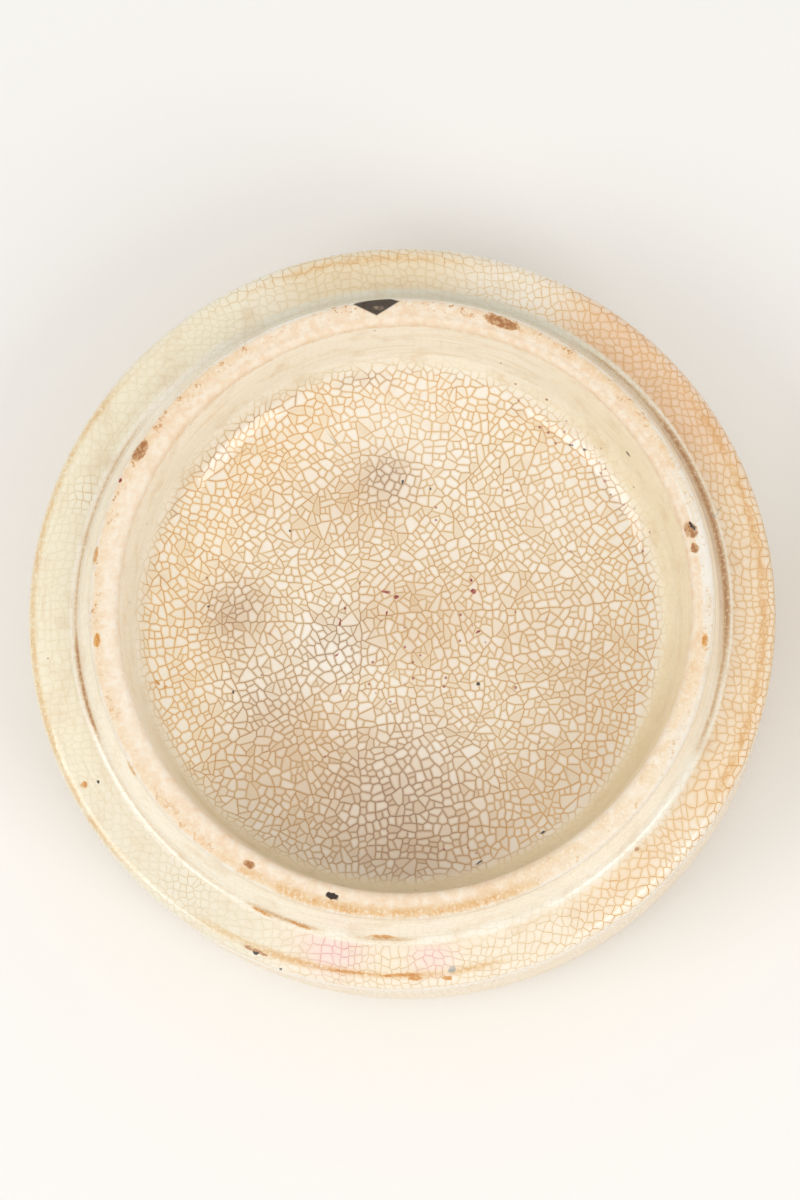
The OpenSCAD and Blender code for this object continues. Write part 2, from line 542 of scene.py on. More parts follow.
# %% Let the wall and ledge wave a little
wall_wave = 0.03 * mm
rim_wave = 0.07 * mm
outside = on(pot_skin, "wall", "groove", "bead", "ledge", "collar", "bevel")
uneven = 1 + waves(pot_skin, seed=3, lowest=2, highest=7)
pot_skin["r"] -= wall_wave * uneven * outside * smooth(pot_skin["r"], 0, collar_r)
pot_skin["z"] -= rim_wave * (1 + waves(pot_skin, seed=5, lowest=2, highest=9)) * on(pot_skin, "rim")

# %% Chip the rim
# Angle round the rim in degrees, width along it, depth across it, and slope of the cut
chips = [
    (94.0, 5.4 * mm, 1.5 * mm, 0.55),
    (70.4, 4.4 * mm, 0.9 * mm, 0.35),
    (148.6, 3.0 * mm, 1.0 * mm, 0.30),
    (123.3, 1.4 * mm, 0.4 * mm, 0.4),
    (134.4, 1.0 * mm, 0.3 * mm, 0.4),
    (140.5, 2.4 * mm, 0.4 * mm, 0.3),
    (61.5, 1.4 * mm, 0.4 * mm, 0.4),
    (50.4, 1.8 * mm, 0.4 * mm, 0.4),
    (239.5, 2.0 * mm, 0.4 * mm, 0.3),
    (311.0, 2.6 * mm, 0.3 * mm, 0.3),
]
chip_curve = 1.3
top_of_collar = on(pot_skin, "collar", "rim") * smooth(pot_skin["z"], rim_z - 3 * mm, rim_z - 2.9 * mm)
chipped = np.zeros_like(pot_skin["r"])
for angle, width, depth, slope in chips:
    along = np.abs((pot_skin["angle"] - angle + 180) % 360 - 180) * math.radians(1) * rim_out_r
    reach = depth * (1 - (along / (width / 2)) ** chip_curve)
    cut = np.clip(pot_skin["r"] - (rim_out_r - reach), 0, None) * (along < width / 2) * top_of_collar
    lowered = rim_z - slope * cut
    hit = (cut > 0) & (pot_skin["z"] > lowered)
    pot_skin["z"] = np.where(hit, lowered, pot_skin["z"])
    chipped = np.maximum(chipped, hit)
print(f"{len(chips)} chips move {int(chipped.sum())} points of the rim")


# %% [markdown]
# ## From skin to mesh
# The arrays become vertices and faces. Every painted array becomes an attribute of the mesh,
# which the shader reads by its name: one value for each vertex, or one for each face where a
# whole cell of the glaze shares it.

# %% Build a mesh from a skin
def skin_mesh(name, skin, faces, cells, shift=(0, 0)):
    """A closed mesh of the turned skin, as an object whose origin is on its axis."""
    x = skin["r"] * np.cos(skin["turn"]) + shift[0]
    y = skin["r"] * np.sin(skin["turn"]) + shift[1]
    mesh = bpy.data.meshes.new(name)
    mesh.from_pydata(np.stack([x, y, skin["z"]], axis=1).tolist(), [], faces)
    mesh.polygons.foreach_set("use_smooth", [True] * len(mesh.polygons))
    piece = bpy.data.objects.new(name, mesh)
    bpy.context.scene.collection.objects.link(piece)
    keep(piece, "unrolled", np.stack([skin["flat"] * np.cos(skin["turn"]),
                                      skin["flat"] * np.sin(skin["turn"]),
                                      np.zeros_like(skin["r"])], axis=-1) / mm)
    keep(piece, "gap", skin["gap"])
    for label, values in cells.items():
        keep(piece, label, np.array(values), "FACE")
    return piece


def keep(piece, name, values, domain="POINT"):
    """Stores a painted array on the mesh: a value, a vector or a colour for each vertex or face."""
    kind, field = {1: ("FLOAT", "value"), 3: ("FLOAT_VECTOR", "vector"),
                   4: ("FLOAT_COLOR", "color")}[1 if values.ndim == 1 else values.shape[1]]
    attribute = piece.data.attributes.new(name, kind, domain)
    attribute.data.foreach_set(field, values.astype(np.float32).ravel())


def keep_colour(piece, name, values):
    """Stores a painted colour, which takes a fourth value for its opacity."""
    keep(piece, name, np.concatenate([values, np.ones((len(values), 1))], axis=-1))


pot = skin_mesh("pot_body", pot_skin, pot_faces, pot_cells, (shift_x, shift_y))
lid = skin_mesh("lid_body", lid_skin, lid_faces, lid_cells)
lid.location = (lid_x, 0, lid_h)
lid.rotation_euler = (0, math.pi, 0)
for piece in (pot, lid):
    triangles = sum(len(face.vertices) - 2 for face in piece.data.polygons)
    print(piece.name, "has", len(piece.data.polygons), "faces,", triangles, "triangles")


# %% [markdown]
# ## Painting the glaze
# The glaze is not one cream. On the ledge it is greenish at the left, tan at the right where
# the crazing has soaked up the most dirt, and almost white at the bottom. Painting in code
# works like painting in layers: start with one colour and lay others over it through masks.
# Colours are written as they look on a screen, from 0 to 255, and turned into the linear
# values that shaders use.
# Some of the layers are painted light and shade, and their names say so.

# %% Colours
def colour(red, green, blue):
    """A screen colour as linear values."""
    parts = np.array([red, green, blue]) / 255
    return np.where(parts <= 0.04045, parts / 12.92, ((parts + 0.055) / 1.055) ** 2.4)


def paint(layers, base):
    """Lays colours over a base colour, each through its mask."""
    result = np.ones_like(layers[0][1])[..., None] * base
    for tone, mask in layers:
        result = result + (tone - result) * np.clip(mask, 0, 1)[..., None]
    return result


cream = colour(242, 234, 220)
pale_cream = colour(246, 232, 209)
white_cell = colour(246, 242, 234)
greenish = colour(241, 231, 203)
ledge_painted_shade = colour(233, 214, 178)
ledge_grey = colour(233, 224, 204)
tan = colour(240, 215, 181)
warm_tan = colour(233, 190, 148)
wall_cream = colour(249, 234, 209)
inside_cream = colour(253, 246, 229)
inside_painted_light = colour(255, 249, 234)
inside_painted_shade = colour(229, 208, 166)
inside_yellow = colour(254, 241, 211)
floor_painted_light = colour(255, 244, 224)
collar_cream = colour(249, 240, 221)
collar_grey_and_shade = colour(228, 220, 196)
pink = colour(240, 200, 196)
cloud_brown = colour(214, 182, 142)
cloud_grey_and_shade = colour(198, 168, 132)
crack_tan = colour(178, 122, 56)
crack_orange = colour(208, 132, 50)
crack_brown = colour(122, 80, 46)
crack_grey = colour(102, 74, 48)
crack_light = colour(216, 168, 104)
crack_pale = colour(204, 176, 122)
crack_pink = colour(226, 142, 140)

# %% Paint the pot's glaze
# s is the skin that is being painted
s = pot_skin
x_mm = (s["r"] * np.cos(s["turn"]) + shift_x) / mm
y_mm = (s["r"] * np.sin(s["turn"]) + shift_y) / mm


def blot(px, py, reach_mm, height=floor_z):
    """A round soft patch on a level surface, placed by a pixel of the photograph."""
    centre = seen_at(px, py, height) / mm
    return near(np.hypot(x_mm - centre.x, y_mm - centre.y), 0, reach_mm)


def blots(places, height=floor_z):
    """Soft patches added up, each as a pixel, its reach in mm and its strength."""
    return sum(strength * blot(px, py, reach, height) for px, py, reach, strength in places)


field_middle = seen_at(400, 622.5, floor_z + 0.9 * mm) / mm
print(f"the crazed disc's middle is at {field_middle.x:.2f}, {field_middle.y:.2f} mm")
from_field = np.hypot(x_mm - field_middle.x, y_mm - field_middle.y)
on_floor = on(s, "floor") * smooth(-from_field, -30.3, -28.5)
on_ledge = on(s, "ledge", "bead", "groove")
on_inside = on(s, "inside", "floor") - on_floor
on_collar = on(s, "collar")
down_inside = smooth(-s["z"], -rim_z, -floor_z - 1 * mm)
brown_clouds = blots([
    (380, 490, 9, 0.5), (238, 618, 8, 0.75), (320, 780, 14, 0.6), (460, 850, 14, 0.5), (450, 630, 14, 0.45),
    (400, 620, 9, 0.4), (570, 645, 12, 0.5), (300, 500, 12, 0.35), (520, 540, 14, 0.25), (400, 790, 17, 0.4),
    (290, 700, 10, 0.35), (590, 740, 14, 0.35), (540, 790, 12, 0.25), (250, 760, 9, 0.3),
    (370, 560, 14, 0.2)])
# grey stains on the floor, and painted shade where the lower wall's shadow falls along the floor's bottom
# edge
grey_clouds_and_shade = blots([(290, 775, 12, 0.35), (400, 880, 18, 0.6), (400, 790, 14, 0.3), (245, 605, 5, 0.2),
                     (385, 472, 4, 0.3), (520, 800, 12, 0.2)])
pot_glaze = paint([
    (inside_cream, on_inside),
    # painted light: the inside wall is lighter at the top, where it faces the lamps, and less so further
    # down
    (inside_painted_light, on_inside * sector(s, 85, 180, 20) * (1 - 0.5 * down_inside)),
    (inside_yellow, on_inside * sector(s, 320, 50, 20)),
    # painted shade: the inside wall darkens at the bottom and deeper down, where it faces away from the
    # lamps
    (inside_painted_shade, on_inside * sector(s, 206, 345, 20) * (0.25 + 0.6 * down_inside)),
    # painted light: lightens the floor's left side against the shadow that the left wall casts there
    (floor_painted_light, on_floor * sector(s, 120, 230, 20) * smooth(s["r"], 14 * mm, 26 * mm) * 0.9),
    (cloud_brown, on_floor * brown_clouds),
    (cloud_grey_and_shade, on_floor * grey_clouds_and_shade),
    (wall_cream, on(s, "wall", "bevel", "recess", "underside")),
    # painted shade: the ledge is darker at the top, where the collar shades it
    (ledge_painted_shade, on_ledge * (sector(s, 80, 112, 8) + 0.3 * sector(s, 55, 80, 8))),
    (greenish, on_ledge * sector(s, 112, 250, 12)),
    (tan, on_ledge * sector(s, 326, 60, 8)),
    (warm_tan, on_ledge * sector(s, 25, 60, 8) * 0.85),
    (ledge_grey, on_ledge * sector(s, 208, 246, 10) * 0.6),
    (pale_cream, on_ledge * sector(s, 250, 320, 6)),
    (tan, on(s, "ledge") * sector(s, 300, 332, 4) * near(s["r"], pot_r - 3.0 * mm, 2.4 * mm)),
    (pink, on_ledge * blots([(325, 948, 4.6, 0.5), (350, 955, 4.0, 0.35), (432, 955, 4.0, 0.4)], ledge_z)),
    (pale_cream, on(s, "bead", "groove")),
    (collar_cream, on_collar),
    # grey-green glaze and painted shade on the collar's top side, which faces away from the lamps
    (collar_grey_and_shade, on_collar * sector(s, 50, 125, 15)),
], cream)

# %% Paint the cracks' colour, how plainly they show, and how far dirt has soaked in beside them
left_edge = sector(s, 75, 215, 15) * smooth(s["r"], 18 * mm, 27 * mm)
right_edge = sector(s, 290, 75, 15) * smooth(s["r"], 20 * mm, 28 * mm)
lower_middle = blots([(400, 800, 15, 1.0), (260, 700, 9, 0.6), (388, 480, 5, 0.9), (235, 610, 6, 0.6),
                      (335, 645, 8, 0.8)])
edge_dirt = near(from_field, 28.4, 1.7) * sector(s, 15, 165, 15)
edge_dirt *= smooth(patches(s, 3 * mm, seed=6), 0.42, 0.6)
pot_crack = paint([
    (crack_orange, on_floor * (0.9 * left_edge + 0.6 * right_edge)),
    (crack_light, on_floor * blots([(400, 425, 11, 0.7), (560, 500, 9, 0.3)])),
    (crack_orange, on_ledge * sector(s, 300, 75, 8) * 0.6),
    (crack_brown, on_floor * lower_middle),
    (crack_grey, on_floor * lower_middle * 0.45),
    (crack_brown, edge_dirt * 0.7),
    (crack_pale, np.clip(on_inside + on_collar, 0, 1)),
    (crack_pale, on_ledge * sector(s, 118, 250, 12)),
    (crack_tan, on_ledge * blots([(88, 495, 3.4, 1.0), (187, 884, 5.0, 0.7)], ledge_z)),
    (crack_pink, on_ledge * blots([(332, 950, 4.5, 1.0), (432, 955, 3.8, 1.0)], ledge_z)),
], crack_tan)
show = 0.96 * on_floor + 0.12 * on_inside
radial = sector(s, 78, 122, 8)
show += on_ledge * blots([(335, 950, 4.6, 0.5), (432, 955, 3.8, 0.4)], ledge_z)
show += on(s, "ledge") * (0.14 + 0.32 * sector(s, 300, 75, 8)
                          + 0.35 * radial * smooth(s["r"], 39.5 * mm, 41 * mm)
                          + blots([(88, 495, 3.4, 0.5), (187, 884, 5.0, 0.3)], ledge_z)
                          + 0.16 * sector(s, 255, 305, 8))
by_the_collar = on(s, "ledge") * smooth(-s["r"], -collar_r - 1.9 * mm, -collar_r - 1.1 * mm)
show *= 1 - 0.85 * by_the_collar * sector(s, 270, 335, 8)
show += on(s, "bead", "groove") * (0.28 + 0.25 * radial) + on_collar * 0.16
show += 0.4 * near(s["flat"], pot_r - 0.4 * mm, 1.0 * mm) * on(s, "ledge", "bead") * sector(s, 300, 62, 8)
show += on(s, "wall", "bevel", "recess", "underside") * 0.5
soak = 0.42 * on_floor + 0.12 * on(s, "ledge") * sector(s, 305, 62, 8) + 0.08 * on(s, "wall", "ledge")
keep_colour(pot, "glaze", pot_glaze)
keep_colour(pot, "crack", pot_crack)
keep(pot, "show", np.clip(show, 0, 1))
keep(pot, "soak", np.clip(soak, 0, 1))

# %% Paint grime, and painted shade in the groove under the bead
line_in = 1.3 * mm - 0.85 * mm * sector(s, 140, 225, 12)
shoulder = near(s["flat"], pot_r - line_in, 0.7 * mm) * on(s, "ledge", "bead")
shoulder *= np.clip(0.6 * sector(s, 142, 222, 6) + 0.8 * sector(s, 330, 36, 6)
                    + 0.5 * sector(s, 238, 254, 4) + 0.5 * sector(s, 82, 112, 8) + 0.06, 0, 1)
shoulder += 0.8 * near(s["flat"], pot_r - 1.5 * mm, 0.5 * mm) * on(s, "ledge") * sector(s, 250, 285, 4)
foot_reach = 0.36 * mm + 0.22 * mm * sector(s, 350, 40, 8)
foot_line = near(s["r"], collar_r + 0.1 * mm, foot_reach) * on(s, "ledge", "collar")
foot_line *= np.clip(0.9 * sector(s, 356, 36, 5) + 0.45 * sector(s, 336, 356, 4)
                     + 0.5 * sector(s, 36, 54, 6) + 0.35 * sector(s, 144, 184, 6)
                     + 0.9 * sector(s, 184, 201, 3) + 0.12 * sector(s, 201, 236, 6)
                     + 0.5 * sector(s, 243, 255, 3) + 0.4 * sector(s, 263, 272, 3), 0, 1)
# the collar's foot gets dirt here, and the groove under the bead gets painted shade
keep(pot, "seam", foot_line + 0.6 * on(s, "groove"))
corner_line = 0.06 * near(s["z"], floor_z + 1.6 * mm, 1.3 * mm) * on(s, "inside", "floor")
# painted shade and dirt in the groove under the bead and on the wall just below it
groove_shade_and_dirt = on(s, "groove") * 0.5 + near(s["z"], bead_z - 0.6 * mm, 0.6 * mm) * on(s, "wall") * 0.4
rim_stain = on(s, "rim", "collar") * near(s["r"], rim_out_r - 0.5 * mm, 1.1 * mm)
inner_stain = on(s, "rim", "inside") * near(s["r"], rim_in_r + 0.8 * mm, 1.4 * mm)
inner_stain *= sector(s, 288, 355, 10)
outer_ticks = 0.8 * sector(s, 30, 185, 10) + 0.2 * sector(s, 55, 100, 10) + 0.35 * sector(s, 185, 30, 10)
keep(pot, "ticks", np.clip(rim_stain * outer_ticks + 0.15 * inner_stain, 0, 1))
rim_stain *= np.clip(0.5 * sector(s, 238, 296, 10) + 0.2 * sector(s, 20, 75, 8)
                     + 0.15 * sector(s, 120, 235, 8) + 0.12 * sector(s, 300, 360, 8), 0, 1)
grime = 0.7 * shoulder + corner_line + groove_shade_and_dirt + rim_stain + 0.22 * inner_stain
keep(pot, "grime", np.clip(grime, 0, 1))

# %% Paint bare clay and gloss
# The glaze has run off the top of the rim, and it is dull where spoons have rubbed the inside
waver = 0.08 * mm * waves(s, seed=8, lowest=3, highest=12)
glazed_edge = 0.3 * mm * sector(s, 325, 30, 12)
outer_bare = on(s, "collar", "rim") * smooth(
    s["z"] + waver, rim_z - 0.40 * mm + glazed_edge, rim_z - 0.06 * mm + 0.2 * glazed_edge)
inner_bare = smooth(s["z"] + waver, rim_z - 2.6 * mm, rim_z - 0.1 * mm) * on(s, "inside")
bare = np.where(s["r"] < (rim_out_r + rim_in_r) / 2, np.maximum(inner_bare, on(s, "rim")), outer_bare)
keep(pot, "bare", np.clip(bare + on(s, "foot") + chipped, 0, 1))
keep(pot, "bleached", (0.5 * sector(s, 296, 345, 12) + 0.2 * sector(s, 150, 215, 12)) * on(
    s, "rim", "collar", "inside"))
keep(pot, "rim_top", smooth(s["z"], rim_z - 1.1 * mm, rim_z - 0.9 * mm) * on(s, "collar", "rim", "inside"))
gloss = 1 - 0.75 * on_inside * (1 - smooth(-s["z"], -floor_z - 3.4 * mm, -floor_z - 2.2 * mm))
gloss -= 0.75 * on(s, "wall", "groove", "bevel")
gloss -= 0.7 * near(s["flat"], pot_r - 0.7 * mm, 1.4 * mm) * on(s, "ledge", "bead") * sector(s, 285, 350, 8)
keep(pot, "gloss", gloss)

# %% Paint where fine specks lie
ring_middle = seen_at(410, 632, floor_z) / mm
from_middle = np.hypot(x_mm - ring_middle.x, y_mm - ring_middle.y)
in_ring = near(from_middle, 7.4, 1.6) * smooth(patches(s, 4 * mm, seed=4), 0.45, 0.65)
specks = on_floor * (0.55 * in_ring + 0.2 * near(from_middle, 3.5, 5.0) + 0.025)
specks += on(s, "inside", "ledge", "wall", "underside") * 0.02
floor_edge = near(from_field, 28.9, 2.2)
specks += blots([(568, 440, 5.0, 1.0), (602, 470, 4.5, 1.0), (632, 512, 4.0, 0.9), (545, 418, 4.0, 0.8),
                 (520, 392, 3.5, 0.6), (630, 560, 3.0, 0.4)]) * floor_edge
specks += blots([(430, 585, 3.0, 0.35), (478, 640, 3.0, 0.3)]) * on_floor
keep(pot, "specks", np.clip(specks, 0, 1))

# %% Paint the lid
s = lid_skin
lid_glaze = paint([
    (greenish, on(s, "ceiling", "skirt_inside") * 0.5),
    (cloud_brown, on(s, "ceiling", "top", "border") * smooth(patches(s, 14 * mm, seed=2), 0.45, 0.9) * 0.5),
    (pale_cream, on(s, "side") * 0.5),
], cream)
lid_crack = paint([
    (crack_orange, smooth(patches(s, 11 * mm, seed=5), 0.5, 0.9) * 0.6),
    (crack_brown, smooth(patches(s, 12 * mm, seed=9), 0.6, 0.95) * 0.6),
], crack_tan)
lid_show = on(s, "ceiling", "top", "border") * 0.8 + on(s, "side", "skirt_inside") * 0.5
keep_colour(lid, "glaze", lid_glaze)
keep_colour(lid, "crack", lid_crack)
keep(lid, "show", lid_show)
keep(lid, "soak", 0.6 * lid_show)
keep(lid, "grime", near(s["z"], lid_h - 1.0 * mm, 1 * mm) * on(s, "border") * 0.4
     + near(s["z"], ceiling_z - 1 * mm, 1 * mm) * on(s, "skirt_inside") * 0.6)
keep(lid, "bare", on(s, "skirt_edge"))
keep(lid, "gloss", np.ones_like(lid_show))
keep(lid, "seam", np.zeros_like(lid_show))
keep(lid, "bleached", np.zeros_like(lid_show))
keep(lid, "ticks", 0.5 * on(s, "skirt_edge"))
keep(lid, "specks", 0.03 + 0.2 * smooth(patches(s, 9 * mm, seed=12), 0.55, 0.8))


# %% [markdown]
# ## Small helpers for shader nodes
# A shader tree is easier to read as code when placing a node and linking its inputs is one
# call. An input may be a number, a colour, or the output of another node.

# %% Place and link nodes
def set_inputs(tree, node, inputs):
    """Sets each input of a node to a value, or links it from another node's output."""
    for key, value in inputs.items():
        if isinstance(value, bpy.types.NodeSocket):
            tree.links.new(value, node.inputs[key])
        else:
            node.inputs[key].default_value = value


def place(tree, kind, inputs, **settings):
    """Adds a shader node. Each input is a value to set or an output socket to link from."""
    made = tree.nodes.new("ShaderNode" + kind)
    for name, value in settings.items():
        setattr(made, name, value)
    set_inputs(tree, made, inputs)
    return made


def calc(tree, operation, *values):
    """A Math node's result."""
    return place(tree, "Math", dict(enumerate(values)), operation=operation).outputs[0]


def product(tree, *values):
    """Several values multiplied."""
    result = values[0]
    for value in values[1:]:
        result = calc(tree, "MULTIPLY", result, value)
    return result


def rest_of(tree, share):
    """What a share leaves of 1."""
    return calc(tree, "SUBTRACT", 1.0, share)


def vector(tree, operation, *values):
    """A Vector Math node's result."""
    return place(tree, "VectorMath", dict(enumerate(values)), operation=operation).outputs[0]


def fade(tree, value, start, end, low=0.0, high=1.0):
    """low at start, high at end, and a smooth turn between them."""
    inputs = {"Value": value, "From Min": start, "From Max": end, "To Min": low, "To Max": high}
    return place(tree, "MapRange", inputs, interpolation_type="SMOOTHSTEP").outputs[0]


def mix(tree, share, under, over, mode="MIX"):
    """Two colours mixed by a share."""
    return place(tree, "Mix", {0: share, 6: under, 7: over}, data_type="RGBA",
                 blend_type=mode).outputs[2]


def either(tree, share, first, second):
    """The first value where share is 0, the second where it is 1."""
    return place(tree, "Mix", {0: share, 2: first, 3: second}).outputs[0]


def opaque(tone):
    """A colour with the fourth value that a colour input takes."""
    return (*tone, 1)


def grain(tree, where, size, detail=2.0, rough=0.5, output=0):
    """Noise from 0 to 1 with features of that size, in the units of the coordinates."""
    inputs = {"Vector": where, "Scale": 1 / size, "Detail": detail, "Roughness": rough}
    return place(tree, "TexNoise", inputs).outputs[output]


def bend(tree, where, size, reach, detail=0.0):
    """Coordinates that wander, so that straight rows and edges become uneven ones."""
    drift = vector(tree, "SUBTRACT", grain(tree, where, size, detail, output="Color"), (0.5, 0.5, 0.5))
    return vector(tree, "ADD", where, vector(tree, "MULTIPLY", drift, (reach, reach, 0.0)))


def new_group(name, takes, gives):
    """An empty node group with named inputs and outputs, and its two end nodes."""
    group = bpy.data.node_groups.new(name, "ShaderNodeTree")
    for label, (kind, value) in takes.items():
        socket = group.interface.new_socket(label, in_out="INPUT", socket_type="NodeSocket" + kind)
        if value is not None:
            socket.default_value = value
    for label, kind in gives.items():
        group.interface.new_socket(label, in_out="OUTPUT", socket_type="NodeSocket" + kind)
    return group, group.nodes.new("NodeGroupInput").outputs, group.nodes.new("NodeGroupOutput").inputs


def use_group(tree, group, inputs):
    """Places a node group in a tree and returns its outputs."""
    made = tree.nodes.new("ShaderNodeGroup")
    made.node_tree = group
    set_inputs(tree, made, inputs)
    return made.outputs


# %% [markdown]
# ## Stains that work like dye
# A stain in a glaze is not paint: light passes through it, and each bit of depth takes away
# the same share. A plain mix of cream and brown gives a greyish pink on the way, while real
# stains turn orange. Powers give the right way between the two colours: one is raised to the
# share that is left, the other to the share that is dyed, and the two are multiplied.

# %% Build the dye group
dye, take, give = new_group("dye", {"Color": ("Color", None), "Dye": ("Color", None),
                                    "Depth": ("Float", 0.0)}, {"Color": "Color"})
left = place(dye, "Gamma", {"Color": take["Color"], "Gamma": rest_of(dye, take["Depth"])}).outputs[0]
dyed = place(dye, "Gamma", {"Color": take["Dye"], "Gamma": take["Depth"]}).outputs[0]
dye.links.new(mix(dye, 1.0, left, dyed, "MULTIPLY"), give["Color"])


def stain(tree, depth, surface, tone):
    """A surface dyed with a colour: depth is 0 for clean and 1 for the full colour."""
    return use_group(tree, dye, {"Color": surface, "Dye": tone, "Depth": depth})["Color"]


# %% [markdown]
# ## Crazing in the shader
# On the ledge and the walls the crazing is faint, and there a Voronoi texture does. With full
# randomness it gives only honeycombs. Held close to its lattice, at half randomness, and bent
# by slow noise, it gives curving rows of nearly square cells. A crack is darkest in its core,
# and the margin is the strip beside it that dirt has crept into.

# %% Build the crazing group
core_share = 0.2
crazing, take, give = new_group("crazing", {
    "Place": ("Vector", None), "Cell": ("Float", 1.0), "Half Width": ("Float", 0.06),
    "Shift": ("Vector", None)}, {"Crack": "Float", "Margin": "Float", "Cell Shade": "Float"})
tree = crazing


def voronoi(tree, feature, where):
    """A Voronoi texture half way between a lattice and full randomness, with cells of size 1."""
    return place(tree, "TexVoronoi", {"Vector": where, "Scale": 1.0, "Randomness": 0.5},
                 voronoi_dimensions="2D", feature=feature).outputs


def channel(tree, tint, name):
    """One channel of a colour."""
    return place(tree, "SeparateColor", {"Color": tint}).outputs[name]


spot = vector(tree, "ADD", take["Place"], take["Shift"])
for size, reach, detail in ((17, 5.0, 0.0), (6, 1.8, 0.0), (1.9, 0.9, 1.0)):
    spot = bend(tree, spot, size, reach, detail)
in_cells = vector(tree, "DIVIDE", spot, place(
    tree, "CombineXYZ", {"X": take["Cell"], "Y": take["Cell"], "Z": 1.0}).outputs[0])

gap = product(tree, voronoi(tree, "DISTANCE_TO_EDGE", in_cells)["Distance"], take["Cell"])
core = product(tree, take["Half Width"], core_share)
tree.links.new(fade(tree, gap, take["Half Width"], core), give["Crack"])
tree.links.new(fade(tree, gap, 0.36, 0.0), give["Margin"])
tree.links.new(channel(tree, voronoi(tree, "F1", in_cells)["Color"], "Red"), give["Cell Shade"])
print("crazing group has", len(tree.nodes), "nodes")

# %% [markdown]
# ## Marks
# Single stains, pits and specks are too small for the mesh to carry, so the shader draws
# them. Each mark is an oval or a wedge: the coordinates are moved to its middle, turned along
# it, and divided by its half sizes, so that its edge lies at a distance of one. The same group
# draws a round speck, a long smear and a chip. Its third half size keeps it on one surface,
# because the underside lies below the floor.

# %% Build the mark group
mark, take, give = new_group("mark", {
    "Place": ("Vector", None), "Centre": ("Vector", None), "Angle": ("Float", 0.0),
    "Half Size": ("Vector", None)}, {"Oval": "Float", "Wedge": "Float"})
tree = mark
about = place(tree, "VectorRotate", {"Vector": take["Place"], "Center": take["Centre"],
                                     "Angle": calc(tree, "MULTIPLY", take["Angle"], -1.0)},
              rotation_type="Z_AXIS").outputs[0]
about = vector(tree, "DIVIDE", vector(tree, "SUBTRACT", about, take["Centre"]), take["Half Size"])
reach = place(tree, "VectorMath", {0: about}, operation="LENGTH").outputs["Value"]
tree.links.new(fade(tree, reach, 1.08, 0.72), give["Oval"])
steps = place(tree, "VectorMath", {0: vector(tree, "ABSOLUTE", about), 1: (1.0, 1.0, 1.0)},
              operation="DOT_PRODUCT").outputs["Value"]
tree.links.new(fade(tree, steps, 1.06, 0.9), give["Wedge"])

# %% [markdown]
# ## Bare clay
# Where the glaze is worn off, the rim shows the peach-coloured body: a dry surface with a
# fine grain, pale patches and orange-brown stains. It is a separate group because the pot's
# rim and foot and the lid's skirt all show it.

# %% Build the bare clay group
clay_peach = colour(239, 214, 183)
clay_pale = colour(244, 229, 207)
clay_orange = colour(232, 186, 140)
clay_brown = colour(228, 190, 148)
clay, take, give = new_group("bare_clay", {"Place": ("Vector", None)}, {
    "Color": "Color", "Height": "Float"})
tree = clay
fine = grain(tree, take["Place"], 0.34, 2.0, 0.6)
blotch = grain(tree, take["Place"], 1.1, 3.0, 0.6)
stained = grain(tree, take["Place"], 5.0, 3.0, 0.65)
tone = mix(tree, fade(tree, blotch, 0.35, 0.65), opaque(clay_peach), opaque(clay_pale))
tone = mix(tree, fade(tree, fine, 0.52, 0.75, 0.0, 0.34), tone, opaque(clay_orange))
tone = mix(tree, fade(tree, stained, 0.55, 0.72, 0.0, 0.3), tone, opaque(clay_brown))
tree.links.new(tone, give["Color"])
rough = calc(tree, "ADD", calc(tree, "SUBTRACT", fine, 0.5), calc(tree, "SUBTRACT", blotch, 0.5))
tree.links.new(product(tree, rough, 0.045), give["Height"])
print("bare clay group has", len(tree.nodes), "nodes")

# %% [markdown]
# ## Turning lines
# The inside wall and the collar show faint lines that run round the piece, left by the
# turning tool and by cracks seen edge on. Noise that changes quickly with the radius and the
# height, and slowly along the way round, draws them.

# %% Build the turning lines group
lines_per_mm = 2.4
line_length = 9.0
turning, take, give = new_group("turning_lines", {"Place": ("Vector", None)}, {"Lines": "Float"})
tree = turning
axes = place(tree, "SeparateXYZ", {"Vector": take["Place"]}).outputs
flat_part = vector(tree, "MULTIPLY", take["Place"], (1.0, 1.0, 0.0))
out_from_axis = place(tree, "VectorMath", {0: flat_part}, operation="LENGTH").outputs["Value"]
across = product(tree, calc(tree, "SUBTRACT", out_from_axis, axes["Z"]), lines_per_mm)
line_place = place(tree, "CombineXYZ", {
    "X": calc(tree, "DIVIDE", axes["X"], line_length),
    "Y": calc(tree, "DIVIDE", axes["Y"], line_length), "Z": across}).outputs[0]
tree.links.new(grain(tree, line_place, 1.0, 3.0, 0.6), give["Lines"])

# %% [markdown]
# ## The marks on the pot
# Each mark is a pixel of the photograph where it is seen, its direction in degrees, its
# length and width in millimetres, and the height of the surface that it lies on. They are
# sorted by colour, because the shader lays one colour at a time. On a level surface a mark
# reaches 1.5 mm up and down, and on the sloping inside only 0.5 mm, so that it stays one spot.

